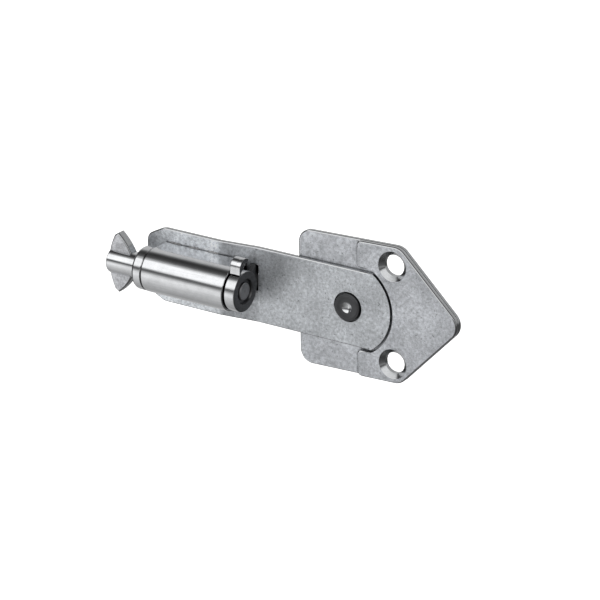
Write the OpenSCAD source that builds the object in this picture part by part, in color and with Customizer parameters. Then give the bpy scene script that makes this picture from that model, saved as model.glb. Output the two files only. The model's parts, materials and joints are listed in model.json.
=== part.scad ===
// Toggle bolt latch: a pivoting strap with a quarter-turn toggle, on a screwed pentagonal plate.
// The mounting face lies in the XZ plane (Y = 0) and everything stands out of it towards -Y.
// X runs along the strap towards the point of the plate and Z is up.
// The origin is midway between the two screw holes, on the mounting face.

/* [Mounting plates] */
// Distance from the strap's pivot to the line through the two screw holes
pivot_to_holes = 16.3; // [15.5:0.1:17]
// Distance between the two screw holes
hole_spacing = 32.6; // [31:0.1:33.4]
// Diameter of the screw clearance holes
hole_d = 7; // [5:0.1:7]
// Diameter of the countersinks at the front face
countersink_d = 10; // [8:0.1:10.4]
// Height of both plates
plate_h = 45.6; // [44:0.2:48]
// Distance from the pivot to the square end of the base plate
plate_back = 19.1; // [18:0.1:24]
// Distance from the pivot to the shoulders where the plates start to narrow
plate_shoulder = 18.9; // [18:0.1:20]
// Distance from the pivot to the unrounded point of the plates
plate_point = 41.2; // [39:0.1:46]
// Radius of the base plate's two square-end corners
back_corner_r = 4.6; // [2:0.1:6]
// Radius of the shoulder corners
shoulder_r = 5; // [3:0.1:6]
// Radius of the point
point_r = 5; // [3:0.1:7]
// Thickness of the base plate
base_t = 1.6; // [1.4:0.1:2.5]
// Thickness of the cover plate
cover_t = 1.5; // [1.2:0.1:2]
// Distance from the pivot to the cover plate's straight edge
cover_edge = 3.2; // [2:0.1:5]
// Radius of the cover plate's two outer edge corners
cover_corner_r = 1.6; // [0.5:0.1:2.5]

/* [Pocket] */
// Radius of the pocket's round wall about the pivot
pocket_r = 16.3; // [16.1:0.1:16.8]
// Half the width of the pocket between its two lips
pocket_half_w = 13.9; // [13.6:0.1:14.1]
// Radius between each lip and the round wall
pocket_fillet_r = 2; // [1:0.1:2.2]
// Radius of the free corner of each lip
lip_r = 1.2; // [0.5:0.1:1.5]

/* [Strap] */
// Width of the strap
arm_w = 25.8; // [24:0.1:26]
// Thickness of the strap
arm_t = 1.5; // [1.2:0.1:1.5]
// Radius of the strap's round end about the pivot
arm_end_r = 15.6; // [15.2:0.1:15.7]
// Distance from the pivot to the strap's free end
arm_reach = 76.4; // [76.2:0.1:76.6]
// Length of the sloping corners of the free end
arm_nose_l = 6.6; // [4:0.1:8]
// Width lost at each sloping corner of the free end
arm_nose_w = 3.4; // [2:0.1:4]
// Angle at which the strap rests, free end raised
rest_angle = 2.1; // [-4:0.1:4]
// Height of the offset that lifts the free end off the door
offset_h = 1.8; // [1.5:0.1:1.9]
// Distance from the pivot to the start of the offset
offset_start = 34.1; // [33.9:0.1:34.4]
// Distance from the pivot to the end of the offset
offset_end = 47.6; // [44:0.1:50]

/* [Keeper slot] */
// Distance from the pivot to the nearer edge of the slot
slot_near = 33.7; // [33.5:0.1:33.9]
// Distance from the pivot to the farther edge of the slot
slot_far = 36.6; // [36.5:0.1:36.8]
// Depth of the slot's lower end below the strap's centre line
slot_bottom = 2; // [2:0.1:2.5]
// Distance that the slot's round floor keeps from the end of the cam's nose
slot_clearance = 0.4; // [0.3:0.1:0.5]

/* [Barrel] */
// Distance from the mounting face to the barrel's axis
axis_y = 12.5; // [12.5:0.1:12.8]
// Height of the barrel's axis above the strap's centre line
axis_rise = 1; // [0.8:0.1:1]
// Outer radius of the barrel
barrel_r = 7.4; // [7:0.1:7.4]
// Distance from the pivot to the barrel's cam end
barrel_near = 36.9; // [36.8:0.1:37]
// Distance from the pivot to the barrel's toggle end
barrel_far = 68.6; // [68.2:0.1:69]
// Outer radius of the bushes
bush_r = 4.6; // [4.2:0.1:5]
// Length of each bush
bush_l = 8; // [6:0.5:10]

/* [Toggle] */
// Radius of the spindle
spindle_r = 3.2; // [3:0.05:3.3]
// Distance from the pivot to the outer end of the spindle
spindle_far = 84.9; // [84.6:0.1:85.2]
// Radius of the spindle's head outside the collar
hub_r = 4.3; // [4:0.1:4.5]
// Radius of the collar
collar_r = 7.3; // [6.6:0.1:7.3]
// Length of the collar
collar_l = 3.8; // [3:0.1:4]
// Thickness of the wing
wing_t = 3.3; // [2.5:0.1:3.8]
// Distance from the spindle's axis to each wing tip
wing_reach = 9.6; // [9:0.1:10.4]

/* [Cam] */
// Radius of the cam disc
cam_r = 6.8; // [6.4:0.1:7]
// Thickness of the cam
cam_t = 3.9; // [3.7:0.1:4]
// Radius of the recess in the cam's face
cam_recess_r = 4.2; // [4:0.1:4.6]
// Depth of the recess in the cam's face
cam_recess_d = 0.9; // [0.6:0.1:1.2]
// Distance from the spindle's axis to the end of the nose
cam_nose_reach = 10.6; // [10.2:0.1:10.6]
// Radius of the hook's round back
hook_r = 3; // [2.5:0.1:3.2]
// Distance from the spindle's axis to the centre of the hook
hook_reach = 8.4; // [8:0.1:8.8]

/* [Pivot] */
// Radius of the rivet's head
rivet_head_r = 4.75; // [4.3:0.05:4.8]
// Radius of the rivet's shank
rivet_r = 3; // [2.5:0.1:3]
// Height that the rivet's head stands proud of the strap
rivet_proud = 0.7; // [0.4:0.1:1]

/* [Hidden] */
$fn = 96;

// Small distances that several pieces share
running_gap = 0.05;
face_gap = 0.05;
overcut = 1;

// Straight steps in the small arcs that are drawn as points
arc_steps = 16;

// Depths measured from the mounting face towards the front
cover_front = base_t + cover_t;
countersink_start = cover_front - (countersink_d - hole_d) / 2;
arm_back = base_t + face_gap;
arm_front = arm_back + arm_t;
lift_front = arm_front + offset_h;

// Corner radii of the strap's outline; the two hidden ones lie outside its round end
arm_shoulder_r = 5;
arm_tip_r = 3.5;
hidden_r = 0.2;

// Rivet seat in the strap
seat_depth = 0.6;
seat_r = rivet_head_r + 0.2;
washer_t = 0.25;
washer_r = rivet_head_r - 0.1;
tail_depth = 0.9;
tail_r = rivet_r + tail_depth;
punch_r = 1.4;
punch_depth = 0.9;

// Barrel and spindle
housing_depth = axis_y - lift_front;
mid_bore_r = spindle_r + 0.15;
collar_washer_t = 0.3;
hub_near = barrel_far + collar_washer_t + collar_l;
cam_gap = 0.4;
cam_far = barrel_near - cam_gap;
cam_near = cam_far - cam_t;
square_w = 4.2;
square_depth = cam_t - cam_recess_d;
cam_rivet_r = 1.2;
cam_rivet_l = 6;
cam_rivet_head_r = 3.6;
cam_rivet_head_t = 0.7;
cam_punch_r = 0.5;
spindle_chamfer = 0.5;
collar_edge_r = 1.2;
collar_washer_r = collar_r - 0.4;

// Detent between spindle and housing, closed by the strap
detent_x = (barrel_near + barrel_far) / 2;
ball_r = 0.8;
ball_sink = 0.25;
ball_y = spindle_r - ball_sink + ball_r;
detent_hole_r = ball_r + running_gap;
spring_wire_r = 0.12;
spring_r = 0.6;
spring_turns = 3.5;
spring_steps = 16;
spring_sink = 0.1;
spring_sides = 8;
spring_foot = ball_y + ball_r - spring_sink;
spring_rise = housing_depth - 2 * spring_wire_r - spring_foot;
spring_rings = spring_steps * spring_turns;

// Wing outline: an outer arc bowed away from the barrel and two inner arcs running back to the hub
wing_outer_r = 20;
wing_inner_r = 21;
wing_inner_x = 94.8;
wing_inner_z = 5.85;
wing_far = 85.4;

// Hook on the cam: a half-round lobe beside a slanting gap, joined to the disc behind the gap
hook_y = -0.3;
gap_slope = 37.5;
gap_offset = 6.4;
web_y = -2.6;
web_t = cam_t / 2;

// Slanting cut in the hook's face
nick_y = -1.8;
nick_z = 10.2;
nick_slope = -47;
nick_w = 0.45;
nick_l = 3.1;
nick_depth = 1.6;

// Cam nose, a sector that fills the slot and leaves it upwards
nose_low = 2.8;
nose_rise = 36;
nose_side_gap = 0.4;
nose_setback = 1.7;

// Weld beads along the foot of the barrel
weld_r = 0.75;
weld_l = 4.5;
weld_starts = [11, 18.5, 26];

function unit(v) = v / norm(v);
function turn(points, i, step) = points[(i + step + len(points)) % len(points)];
function half_angle(points, i) =
    acos(unit(turn(points, i, -1) - points[i]) * unit(turn(points, i, 1) - points[i])) / 2;
function corner_centre(points, radii, i) =
    points[i] + unit(unit(turn(points, i, -1) - points[i]) + unit(turn(points, i, 1) - points[i]))
    * radii[i] / sin(half_angle(points, i));
function tangent_point(points, radii, i, step) =
    points[i] + unit(turn(points, i, step) - points[i]) * radii[i] / tan(half_angle(points, i));

// A convex outline with a true arc at each corner
module rounded_outline(points, radii) {
    polygon([for (i = [0 : len(points) - 1], step = [-1, 1]) tangent_point(points, radii, i, step)]);
    for (i = [0 : len(points) - 1])
        translate(corner_centre(points, radii, i)) circle(radii[i]);
}

// Extrudes an outline drawn in X and Z from one depth to a deeper one, towards -Y
module sheet(depth_from, depth_to) {
    translate([0, -depth_from, 0]) rotate([90, 0, 0]) linear_extrude(depth_to - depth_from) children();
}

// A cylinder along Y between two depths
module cross_pin(r, depth_from, depth_to) {
    translate([0, -depth_from, 0]) rotate([90, 0, 0]) cylinder(r = r, h = depth_to - depth_from);
}

// A cone along Y between two depths
module cross_cone(r_from, r_to, depth_from, depth_to) {
    translate([0, -depth_from, 0]) rotate([90, 0, 0])
        cylinder(r1 = r_from, r2 = r_to, h = depth_to - depth_from);
}

// Moves pieces drawn about the pivot to their place beside the screw holes
module at_pivot() {
    translate([-pivot_to_holes, 0, 0]) children();
}

// The strap's own directions: X along the strap, turned about the pivot to its rest angle
module on_arm() {
    at_pivot() rotate([0, rest_angle, 0]) children();
}

// The spindle's axis, with the distance from the pivot counted towards the free end
module on_axis(distance) {
    on_arm() translate([-distance, -axis_y, axis_rise]) children();
}

// A cylinder on the spindle's axis between two distances from the pivot
module axle(r, near, far) {
    on_axis(far) rotate([0, 90, 0]) cylinder(r = r, h = far - near);
}

// Extrudes an outline drawn in Y and Z about the spindle's axis, between two distances from the pivot
module slab(near, far) {
    on_axis(far) rotate([90, 0, 90]) linear_extrude(far - near) children();
}

// The screw holes and their countersinks, drawn from the mounting face to the front
module screw_holes() {
    for (side = [-1, 1]) translate([0, 0, side * hole_spacing / 2]) {
        cross_pin(hole_d / 2, -overcut, cover_front + overcut);
        cross_cone(hole_d / 2, countersink_d / 2 + overcut, countersink_start, cover_front + overcut);
    }
}

module base_plate() {
    outline = [
        [-plate_back, -plate_h / 2], [plate_shoulder, -plate_h / 2], [plate_point, 0],
        [plate_shoulder, plate_h / 2], [-plate_back, plate_h / 2]
    ];
    color("lightgray") difference() {
        at_pivot() sheet(0, base_t)
            rounded_outline(outline, [back_corner_r, shoulder_r, point_r, shoulder_r, back_corner_r]);
        screw_holes();
        at_pivot() cross_pin(rivet_r, -overcut, base_t + overcut);
        at_pivot() cross_cone(tail_r, rivet_r, 0, tail_depth);
    }
}

// Points along an arc, from one angle to another
function arc(centre, r, from, to) = [
    for (step = [0 : arc_steps]) let (angle = from + (to - from) * step / arc_steps)
        centre + r * [cos(angle), sin(angle)]
];

// The pocket that the strap's round end turns in: its round wall meets each straight lip in a smaller arc
module pocket() {
    fillet_z = pocket_half_w - pocket_fillet_r;
    fillet_reach = pocket_r - pocket_fillet_r;
    fillet_angle = asin(fillet_z / fillet_reach);
    fillet_x = fillet_reach * cos(fillet_angle);
    wall_x = pocket_r * cos(fillet_angle);
    wall_z = pocket_r * sin(fillet_angle);
    polygon(concat(
        [[-pocket_r, pocket_half_w], [-pocket_r, -pocket_half_w]],
        arc([fillet_x, -fillet_z], pocket_fillet_r, -90, -fillet_angle),
        arc([fillet_x, fillet_z], pocket_fillet_r, fillet_angle, 90)
    ));
    intersection() {
        circle(pocket_r);
        translate([wall_x, -wall_z]) square([pocket_r, 2 * wall_z]);
    }
}

// What rounding takes off the free corner of a lip
module lip_corner() {
    difference() {
        translate([-overcut, -overcut]) square(lip_r + overcut);
        translate([lip_r, lip_r]) circle(lip_r);
    }
}

module cover_plate() {
    outline = [
        [cover_edge, -plate_h / 2], [plate_shoulder, -plate_h / 2], [plate_point, 0],
        [plate_shoulder, plate_h / 2], [cover_edge, plate_h / 2]
    ];
    color("silver") difference() {
        at_pivot() sheet(base_t, cover_front) difference() {
            rounded_outline(outline, [cover_corner_r, shoulder_r, point_r, shoulder_r, cover_corner_r]);
            pocket();
            translate([cover_edge, pocket_half_w]) lip_corner();
            translate([cover_edge, -pocket_half_w]) mirror([0, 1]) lip_corner();
        }
        screw_holes();
    }
}

module pivot_rivet() {
    head_under = arm_front - seat_depth + face_gap + washer_t;
    head_top = arm_front + rivet_proud;
    color("dimgray") at_pivot() difference() {
        union() {
            cross_cone(tail_r, rivet_r, 0, tail_depth);
            cross_pin(rivet_r, 0, head_top - overcut / 2);
            cross_pin(rivet_head_r, head_under, head_top);
        }
        cross_cone(0, punch_r, head_top - punch_depth, head_top);
    }
}

module pivot_washer() {
    under = arm_front - seat_depth + face_gap;
    color("gray") at_pivot() difference() {
        cross_pin(washer_r, under, under + washer_t);
        cross_pin(rivet_r, under - overcut, under + overcut);
    }
}

// The strap seen from its edge: flat at the pivot, sloping, then flat again further forward
module arm_profile() {
    polygon([
        [arm_end_r, -arm_back], [arm_end_r, -arm_front], [-offset_start, -arm_front],
        [-offset_end, -lift_front], [-arm_reach, -lift_front], [-arm_reach, arm_t - lift_front],
        [-offset_end, arm_t - lift_front], [-offset_start, arm_t - arm_front]
    ]);
}

// The strap seen from the front
module arm_outline() {
    half = arm_w / 2;
    outline = [
        [arm_end_r + overcut, -half], [arm_end_r + overcut, half],
        [arm_nose_l - arm_reach, half], [-arm_reach, half - arm_nose_w],
        [-arm_reach, arm_nose_w - half], [arm_nose_l - arm_reach, -half]
    ];
    intersection() {
        rounded_outline(outline, [hidden_r, hidden_r, arm_shoulder_r, arm_tip_r, arm_tip_r, arm_shoulder_r]);
        union() {
            circle(arm_end_r);
            translate([-arm_reach - overcut, -half]) square([arm_reach + overcut, arm_w]);
        }
    }
}

// The slot's floor is round about the spindle's axis, as the cam's nose sweeps through it
module keeper_slot() {
    intersection() {
        axle(cam_nose_reach + slot_clearance, slot_near, slot_far);
        on_arm() translate([-slot_far - overcut, -axis_y, -slot_bottom])
            cube([arm_reach, axis_y + overcut, cam_nose_reach]);
    }
}

module swing_arm() {
    color("lightgray") difference() {
        on_arm() intersection() {
            translate([0, 0, -arm_w]) linear_extrude(2 * arm_w) arm_profile();
            sheet(0, lift_front + overcut) arm_outline();
        }
        at_pivot() cross_pin(rivet_r + running_gap, 0, lift_front);
        at_pivot() cross_pin(seat_r, arm_front - seat_depth, lift_front);
        keeper_slot();
    }
}

// Section of the barrel: round in front, straight back to the strap
module housing_section() {
    circle(barrel_r);
    translate([0, -barrel_r]) square([housing_depth, 2 * barrel_r]);
}

module barrel_housing() {
    color("gainsboro") difference() {
        slab(barrel_near, barrel_far) housing_section();
        axle(mid_bore_r, barrel_near - overcut, barrel_far + overcut);
        axle(bush_r, barrel_near - overcut, barrel_near + bush_l);
        axle(bush_r, barrel_far - bush_l, barrel_far + overcut);
        on_axis(detent_x) rotate([-90, 0, 0]) cylinder(r = detent_hole_r, h = housing_depth + overcut);
    }
}

module seam_welds() {
    color("darkgray") for (side = [-1, 1], start = weld_starts) intersection() {
        on_axis(barrel_near + start + weld_l) translate([0, housing_depth, side * barrel_r])
            rotate([0, 90, 0]) cylinder(r = weld_r, h = weld_l);
        on_axis(barrel_far) translate([0, housing_depth - weld_r, side > 0 ? barrel_r : -barrel_r - weld_r])
            cube([barrel_far - barrel_near, weld_r, weld_r]);
    }
}

module bush(near) {
    color("goldenrod") difference() {
        axle(bush_r, near, near + bush_l);
        axle(spindle_r + running_gap, near - overcut, near + bush_l + overcut);
    }
}

module toggle_bush() {
    bush(barrel_far - bush_l);
}

module cam_bush() {
    bush(barrel_near);
}

module detent_ball() {
    color("silver") on_axis(detent_x) translate([0, ball_y, 0]) sphere(ball_r);
}

// One ring of the spring's wire, at a given step along the coil
function coil_ring(step) = [for (side = [0 : spring_sides - 1])
    let (
        turn_angle = 360 * step / spring_steps,
        wire_angle = 360 * side / spring_sides,
        reach = spring_r + spring_wire_r * cos(wire_angle),
        rise = spring_rise * step / (spring_steps * spring_turns) + spring_wire_r * sin(wire_angle)
    )
    [reach * cos(turn_angle), reach * sin(turn_angle), rise]
];

module detent_spring() {
    points = [for (step = [0 : spring_rings], p = coil_ring(step)) p];
    side_faces = [for (step = [0 : spring_rings - 1], side = [0 : spring_sides - 1])
        let (next = (side + 1) % spring_sides, a = step * spring_sides, b = a + spring_sides)
        [a + side, b + side, b + next, a + next]
    ];
    first = [for (side = [0 : spring_sides - 1]) side];
    last = [for (side = [spring_sides - 1 : -1 : 0]) spring_rings * spring_sides + side];
    color("silver") on_axis(detent_x) translate([0, spring_foot + spring_wire_r, 0]) rotate([-90, 0, 0])
        polyhedron(points, concat(side_faces, [first, last]));
}

// The wing plate, solid through the middle where the spindle holds it
module wing_plate() {
    half = wing_t / 2;
    on_axis(0) sheet(-half, half) for (side = [0, 1]) mirror([0, side]) intersection() {
        translate([wing_outer_r - wing_far, 0]) circle(wing_outer_r, $fn = 180);
        translate([-wing_inner_x, -wing_inner_z]) circle(wing_inner_r, $fn = 180);
        translate([-wing_far - overcut, 0]) square([2 * wing_reach, wing_reach]);
    }
}

module thumb_wing() {
    color("silver") wing_plate();
}

module spindle() {
    color("silver") difference() {
        union() {
            axle(spindle_r, cam_far + cam_gap, hub_near + overcut);
            axle(hub_r, hub_near, spindle_far - spindle_chamfer);
            on_axis(spindle_far) rotate([0, 90, 0])
                cylinder(r1 = hub_r - spindle_chamfer, r2 = hub_r, h = spindle_chamfer);
            on_axis(cam_far + cam_gap) translate([0, -square_w / 2, -square_w / 2])
                cube([square_depth + cam_gap, square_w, square_w]);
        }
        wing_plate();
        on_axis(detent_x) rotate([0, 90, 0]) rotate_extrude()
            translate([ball_y, 0]) circle(ball_r + running_gap);
        axle(cam_rivet_r, cam_near, cam_near + cam_recess_d + cam_rivet_l);
    }
}

module toggle_collar() {
    flank = collar_l - collar_edge_r;
    color("silver") on_axis(barrel_far + collar_washer_t) rotate([0, -90, 0]) rotate_extrude() {
        translate([spindle_r, 0]) square([collar_r - spindle_r, flank]);
        translate([spindle_r, 0]) square([collar_r - spindle_r - collar_edge_r, collar_l]);
        translate([collar_r - collar_edge_r, flank]) circle(collar_edge_r);
    }
}

module collar_washer() {
    color("gray") difference() {
        axle(collar_washer_r, barrel_far + face_gap, barrel_far + collar_washer_t);
        axle(spindle_r, barrel_far - overcut, barrel_far + overcut);
    }
}

// Everything on the hook's side of the slanting gap's upper edge
module above_gap() {
    rotate(gap_slope) translate([-2 * cam_r, gap_offset]) square([4 * cam_r, 2 * cam_r]);
}

// The hook as it shows at the face
module hook_outline() {
    intersection() {
        above_gap();
        union() {
            translate([hook_y, hook_reach]) circle(hook_r);
            translate([hook_y - hook_r, cam_r / 2]) square([hook_r, hook_reach - cam_r / 2]);
        }
    }
}

// The nose's section: a sector about the spindle's axis, cut off level at its foot
module nose_outline() {
    intersection() {
        circle(cam_nose_reach);
        polygon([
            [0, -nose_low], [cam_nose_reach, -nose_low],
            [cam_nose_reach, cam_nose_reach * tan(nose_rise)], [0, 0]
        ]);
    }
}

module locking_cam() {
    color("darkgray") difference() {
        union() {
            slab(cam_near, cam_far) circle(cam_r);
            slab(cam_near, cam_far) hook_outline();
            slab(cam_far - web_t, cam_far) translate([web_y, 0]) square([hook_r, hook_reach]);
            slab(cam_near + nose_setback, cam_far - nose_side_gap) nose_outline();
        }
        axle(cam_recess_r, cam_near - overcut, cam_near + cam_recess_d);
        slab(cam_near, cam_far + overcut) square(square_w, center = true);
        slab(cam_near - overcut, cam_near + nick_depth) translate([nick_y, nick_z])
            rotate(nick_slope) translate([0, -nick_w / 2]) square([nick_l, nick_w]);
    }
}

module cam_washer() {
    color("gray") difference() {
        axle(cam_recess_r, cam_far, cam_far + cam_gap - face_gap);
        axle(spindle_r, cam_far - overcut, cam_far + overcut);
    }
}

module cam_rivet() {
    head_top = cam_near + cam_recess_d - cam_rivet_head_t;
    color("dimgray") difference() {
        union() {
            axle(cam_rivet_head_r, head_top, cam_near + cam_recess_d);
            axle(cam_rivet_r, head_top, cam_near + cam_recess_d + cam_rivet_l);
        }
        on_axis(head_top + cam_punch_r) rotate([0, 90, 0])
            cylinder(r1 = 0, r2 = cam_punch_r, h = cam_punch_r);
    }
}

base_plate();
cover_plate();
pivot_rivet();
pivot_washer();
swing_arm();
barrel_housing();
seam_welds();
toggle_bush();
cam_bush();
detent_ball();
detent_spring();
spindle();
thumb_wing();
toggle_collar();
collar_washer();
locking_cam();
cam_washer();
cam_rivet();
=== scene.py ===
"""Looks of the toggle bolt latch: rounded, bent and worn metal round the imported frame."""
import json
import math

import bmesh
import bpy
from mathutils import Matrix, Vector, noise


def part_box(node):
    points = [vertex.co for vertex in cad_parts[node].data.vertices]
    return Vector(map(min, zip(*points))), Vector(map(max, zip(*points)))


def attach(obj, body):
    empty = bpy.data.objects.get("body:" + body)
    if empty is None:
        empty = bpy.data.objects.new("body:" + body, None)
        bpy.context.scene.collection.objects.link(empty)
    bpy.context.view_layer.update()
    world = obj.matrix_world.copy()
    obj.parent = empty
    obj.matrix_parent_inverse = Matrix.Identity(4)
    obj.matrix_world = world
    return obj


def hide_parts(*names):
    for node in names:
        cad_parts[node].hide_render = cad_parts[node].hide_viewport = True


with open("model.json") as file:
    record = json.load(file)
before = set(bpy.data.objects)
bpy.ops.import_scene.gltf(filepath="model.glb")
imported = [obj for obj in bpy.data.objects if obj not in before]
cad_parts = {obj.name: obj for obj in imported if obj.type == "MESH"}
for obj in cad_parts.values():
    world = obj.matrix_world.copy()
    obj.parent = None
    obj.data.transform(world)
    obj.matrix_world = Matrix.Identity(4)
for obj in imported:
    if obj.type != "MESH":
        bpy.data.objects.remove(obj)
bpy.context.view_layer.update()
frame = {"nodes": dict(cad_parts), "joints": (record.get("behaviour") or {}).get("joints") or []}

# ---------------------------------------------------------------- lengths in millimetres, as in the CAD part
MM = 0.001
HOLE_SPACING = 32.6
HOLE_R = 3.5
COUNTERSINK_R = 5.0
PLATE_HALF = 22.8
PLATE_BACK = 19.1
PLATE_SHOULDER = 18.9
PLATE_POINT = 41.19
BACK_CORNER_R = 4.6
SHOULDER_R = 5.0
POINT_R = 5.0
COVER_EDGE = 3.2
COVER_CORNER_R = 1.6
POCKET_R = 16.3
POCKET_HALF = 13.9
POCKET_FILLET_R = 2.0
LIP_R = 1.2
ARM_HALF = 12.9
ARM_T = 1.5
ARM_END_R = 15.6
ARM_REACH = 76.4
ARM_NOSE_L = 6.6
ARM_NOSE_W = 3.4
ARM_SHOULDER_R = 5.0
ARM_TIP_R = 3.5
OFFSET_START = 34.1
OFFSET_END = 47.6
SLOT_NEAR = 33.7
SLOT_FAR = 36.6
SLOT_BOTTOM = 2.0
SLOT_SWEEP_R = 11.0
BARREL_R = 7.39
BARREL_NEAR = 36.9
BARREL_FAR = 68.6
BUSH_R = 4.6
SPINDLE_R = 3.2
SPINDLE_FAR = 84.89
SPINDLE_NEAR = 33.6
HUB_R = 4.3
COLLAR_R = 7.29
COLLAR_NEAR = 68.9
COLLAR_FAR = 72.7
COLLAR_EDGE_R = 1.2
WING_T = 3.3
WING_OUTER_R = 20.0
WING_FAR = 85.39
WING_INNER_R = 21.0
WING_INNER_X = 94.8
WING_INNER_Z = 5.85
WING_REACH = 9.6
CAM_R = 6.8
CAM_NEAR = 32.6
CAM_FAR = 36.5
CAM_RECESS_R = 4.2
CAM_RECESS_D = 0.9
CAM_RIVET_R = 2.9
CAM_RIVET_T = 0.7
NOSE_REACH = 10.6
NOSE_LOW = 2.8
NOSE_RISE = 36.0
NOSE_NEAR = 34.3
NOSE_FAR = 36.1
HOOK_R = 3.0
HOOK_Y = -0.3
HOOK_Z = 8.4
GAP_SLOPE = 37.5
GAP_OFFSET = 7.2
NICK_Y = -1.8
NICK_Z = 10.2
NICK_SLOPE = -47.0
NICK_W = 0.7
NICK_DEPTH = 1.6
WEB_Y = -2.6
RIVET_R = 3.0
RIVET_HEAD_R = 4.75
SEAT_R = 4.95
SEAT_DEPTH = 0.6
PUNCH_R = 1.8
PUNCH_DEPTH = 1.5
TENON_R = 2.1
TENON_END = CAM_FAR + 0.4
PIN_STEM_R = 1.2
PIN_STEM_L = 6.0
WELD_STARTS = (11, 18.5, 26)
WELD_L = 4.5

# The round groove in the spindle that the detent ball runs in: its middle along the spindle,
# the distance of its centre from the axis, and its radius
GROOVE_X = (BARREL_NEAR + BARREL_FAR) / 2
GROOVE_OUT = 3.75
GROOVE_R = 0.85

# The rounded bends at the two ends of the strap's step, and where edge loops are cut across each
BEND = 1.6
BEND_CUTS = (-BEND, -1.1, -0.5, 0, 0.5, 1.1, BEND)

# Rounding at the front and back of each sheet's edge, and the widths of its two worn facets
SHEET_FRONT_R = 0.22
SHEET_BACK_R = 0.12
COVER_FRONT_R = 0.2
COVER_BACK_R = 0.1
WING_FRONT_R = 0.15
WING_BACK_R = 0.25
BASE_FACETS = (0.26, 0.12)
COVER_FACETS = (0.26, 0.22)
STRAP_FACETS = (0.26, 0.1)
WING_FACETS = (0.26, 0.3)

# ---------------------------------------------------------------- places taken from the frame
TURN = next(j for j in frame["joints"] if j["name"] == "toggle_turn")


def middle(node):
    low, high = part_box(node)
    return (low + high) / 2


PIVOT = middle("pivot_rivet")
ARM_X = Vector(TURN["axis"]).normalized()
ARM_Y = Vector((0, 1, 0))
ARM_Z = ARM_X.cross(ARM_Y)
BASE_FRONT = -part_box("base_plate")[0].y / MM
COVER_FRONT = -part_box("cover_plate")[0].y / MM
LIFT_FRONT = -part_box("swing_arm")[0].y / MM
ARM_BACK = -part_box("swing_arm")[1].y / MM
ARM_FRONT = ARM_BACK + ARM_T
RIVET_TOP = -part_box("pivot_rivet")[0].y / MM
AXIS_Y = -TURN["pos_m"][1] / MM
AXIS_RISE = (Vector(TURN["pos_m"]) - PIVOT).dot(ARM_Z) / MM
OFFSET_H = LIFT_FRONT - ARM_FRONT

ON_PLATE = Matrix.Translation((PIVOT.x, 0, PIVOT.z)) @ Matrix.Scale(MM, 4)
ON_ARM = Matrix.Translation((PIVOT.x, 0, PIVOT.z)) @ Matrix((
    (ARM_X.x, 0, ARM_Z.x, 0),
    (ARM_X.y, 1, ARM_Z.y, 0),
    (ARM_X.z, 0, ARM_Z.z, 0),
    (0, 0, 0, 1),
)) @ Matrix.Scale(MM, 4)


# ---------------------------------------------------------------- outlines
# How far the two worn facets on an edge lean back from the front, in degrees
FACET_LEANS = (34.0, 62.0)

# Share of the rounding left where two pieces fit closely
CRISP = 0.2


def smooth_step(t):
    t = min(1, max(0, t))
    return t * t * (3 - 2 * t)


def arc(cx, cy, r, start, end, steps):
    """Points on an arc, angles in degrees, both ends included."""
    found = []
    for i in range(steps + 1):
        a = math.radians(start + (end - start) * i / steps)
        found.append((cx + r * math.cos(a), cy + r * math.sin(a)))
    return found


def rounded(corners, steps=10):
    """A closed outline from (x, y, radius) corners, anticlockwise, each corner an arc."""
    found = []
    count = len(corners)
    for i, (x, y, r) in enumerate(corners):
        here = Vector((x, y))
        before = (Vector(corners[i - 1][:2]) - here).normalized()
        after = (Vector(corners[(i + 1) % count][:2]) - here).normalized()
        half = before.angle(after) / 2
        centre = here + (before + after).normalized() * r / math.sin(half)
        first = here + before * r / math.tan(half) - centre
        last = here + after * r / math.tan(half) - centre
        turn = first.angle_signed(last)
        for k in range(steps + 1):
            p = centre + Matrix.Rotation(-turn * k / steps, 2) @ first
            found.append((p.x, p.y))
    return tidy(found)


def tidy(points, nearest=0.02):
    """The same closed outline without points that fall on top of each other."""
    kept = []
    for p in points:
        if not kept or math.dist(p, kept[-1]) > nearest:
            kept.append(p)
    if math.dist(kept[0], kept[-1]) <= nearest:
        kept.pop()
    return kept


def dense(points, longest):
    """The same closed outline with long straight stretches cut into shorter ones."""
    found = []
    for i, p in enumerate(points):
        q = points[(i + 1) % len(points)]
        parts = max(1, math.ceil(math.dist(p, q) / longest))
        for k in range(parts):
            t = k / parts
            found.append((p[0] + (q[0] - p[0]) * t, p[1] + (q[1] - p[1]) * t))
    return found


def everywhere(x, z):
    """The share of an edge's rounding at a place: the whole of it."""
    return 1.0


def inset(points, distance, share=everywhere):
    """An anticlockwise outline moved inwards by a small distance, or by a share of it at each place."""
    found = []
    count = len(points)
    for i, p in enumerate(points):
        before = Vector(p) - Vector(points[i - 1])
        after = Vector(points[(i + 1) % count]) - Vector(p)
        n1 = Vector((-before.y, before.x)).normalized()
        n2 = Vector((-after.y, after.x)).normalized()
        n = (n1 + n2).normalized()
        reach = share(*p) * distance / max(0.5, n.dot(n1))
        found.append((p[0] + n.x * reach, p[1] + n.y * reach))
    return found


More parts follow.
